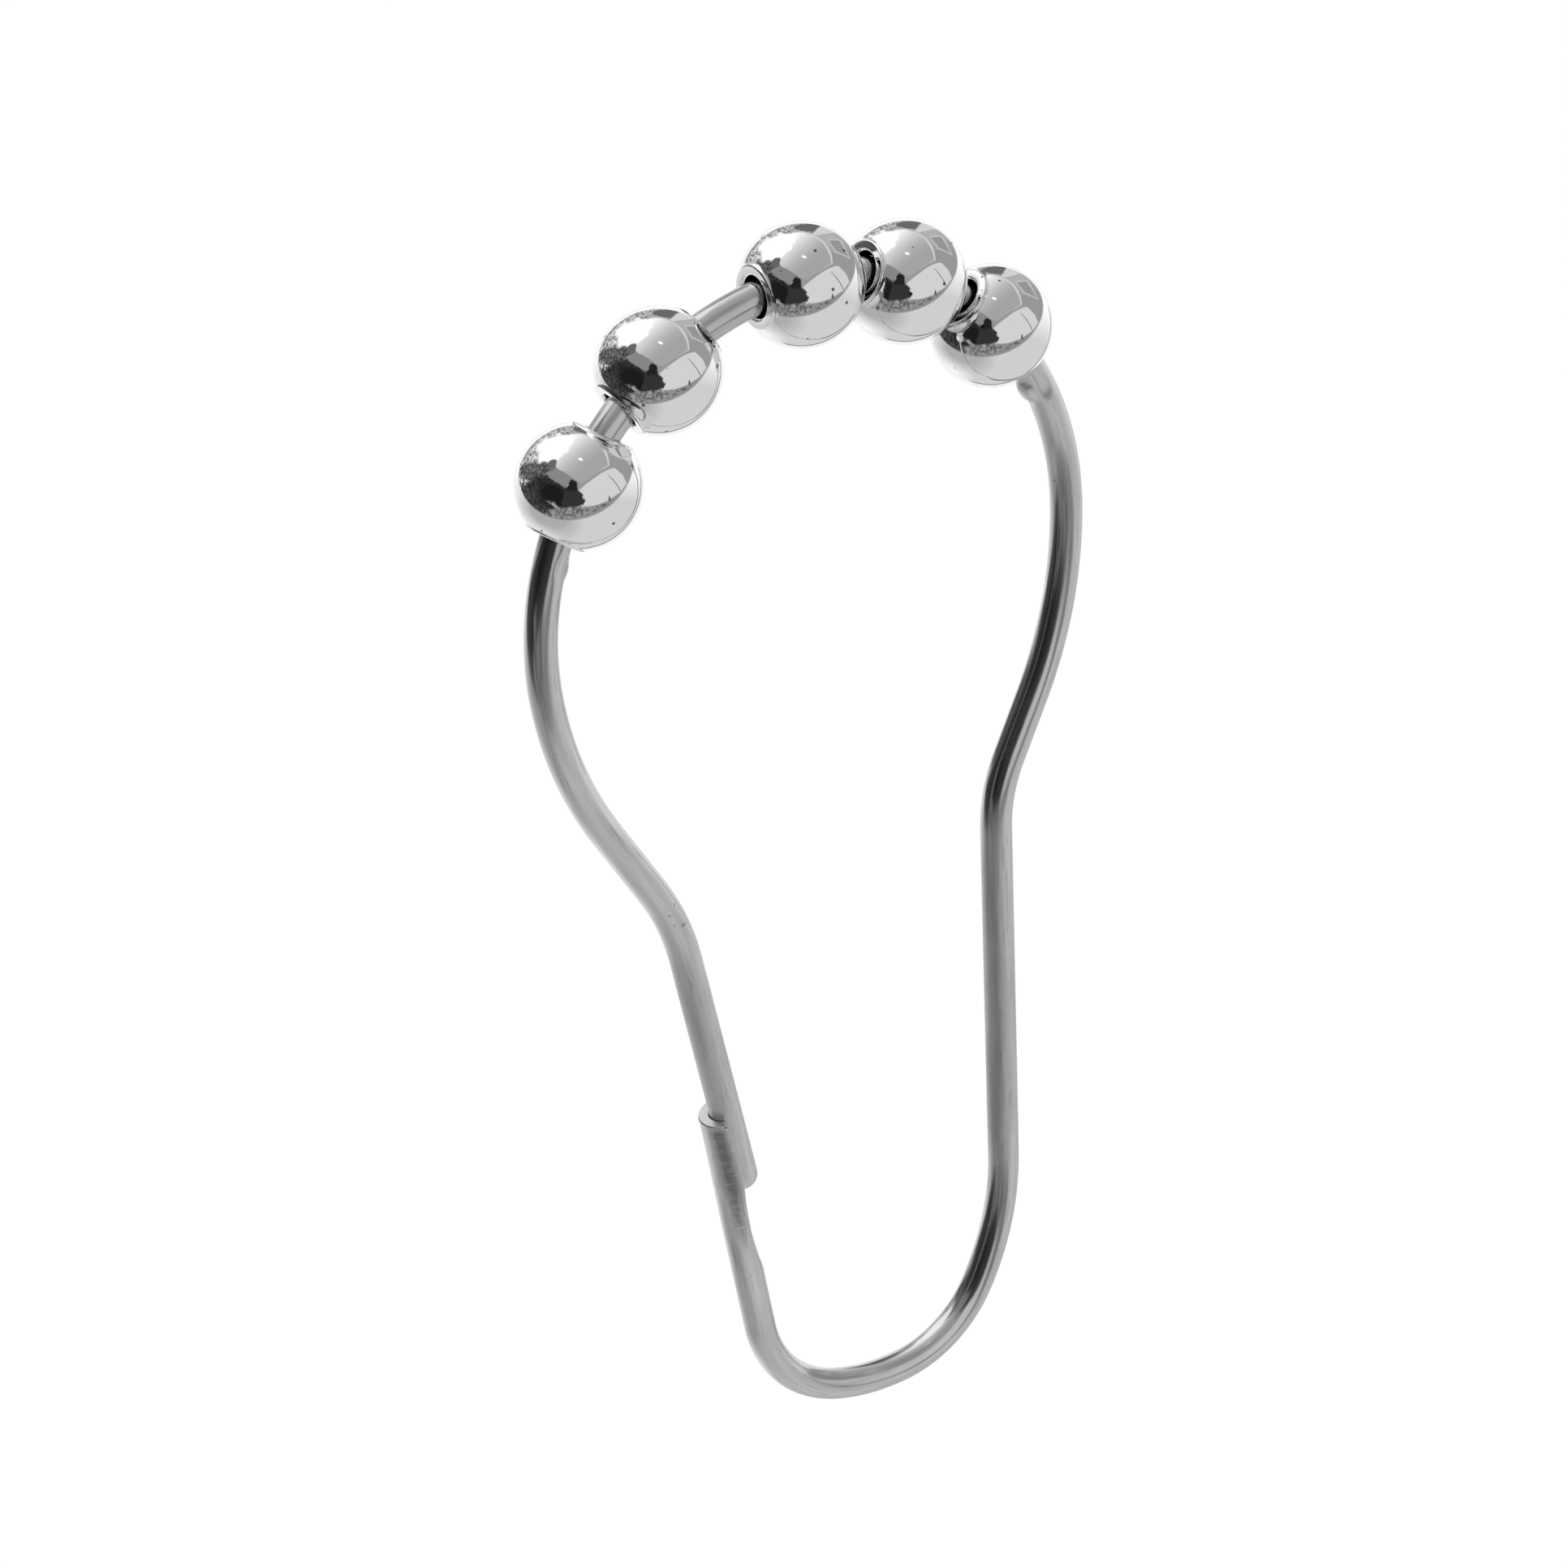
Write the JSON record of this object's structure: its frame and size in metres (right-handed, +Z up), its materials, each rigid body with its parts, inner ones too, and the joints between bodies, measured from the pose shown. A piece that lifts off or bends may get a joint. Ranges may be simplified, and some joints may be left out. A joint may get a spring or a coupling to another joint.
{
  "type": "curtain hook",
  "caption": "Pear-shaped spring-wire shower curtain hook with a snap gutter clasp and free-rolling metal balls on its top arc.",
  "frame": {"origin": "centre of the wire's top arc, which is the centre of the ring of balls that rests on the curtain rod", "axes": "+Z up as the hook hangs, X across the loop with the snap clasp on the -X side, Y along the curtain rod; the picture looks from the -X, -Y side"},
  "size_m": [0.0394, 0.0074, 0.08],
  "materials": {
    "wire_chrome": "drawn steel wire, chrome plated, with fine lengthwise die lines and small bend scuffs",
    "ball_chrome": "mirror-bright chrome plate on a pressed steel ball, with a few tiny pits"
  },
  "bodies": {
    "hook": {"wire_hook": "wire_chrome"},
    "ball_1": {"ball_1": "ball_chrome"},
    "ball_2": {"ball_2": "ball_chrome"},
    "ball_3": {"ball_3": "ball_chrome"},
    "ball_4": {"ball_4": "ball_chrome"},
    "ball_5": {"ball_5": "ball_chrome"}
  },
  "joints": [
    {"name": "ball_1_roll", "type": "hinge", "parent": "hook", "child": "ball_1", "pos_m": [-0.01484, 0, 0.01105], "axis": [0.5975, 0, 0.8019], "continuous": true},
    {"name": "ball_2_roll", "type": "hinge", "parent": "hook", "child": "ball_2", "pos_m": [-0.00882, 0, 0.01626], "axis": [0.879, 0, 0.4769], "continuous": true},
    {"name": "ball_3_roll", "type": "hinge", "parent": "hook", "child": "ball_3", "pos_m": [0.00123, 0, 0.01846], "axis": [0.9978, 0, -0.0663], "continuous": true},
    {"name": "ball_4_roll", "type": "hinge", "parent": "hook", "child": "ball_4", "pos_m": [0.00827, 0, 0.01655], "axis": [0.8945, 0, -0.4471], "continuous": true},
    {"name": "ball_5_roll", "type": "hinge", "parent": "hook", "child": "ball_5", "pos_m": [0.01411, 0, 0.01196], "axis": [0.6464, 0, -0.763], "continuous": true}
  ]
}
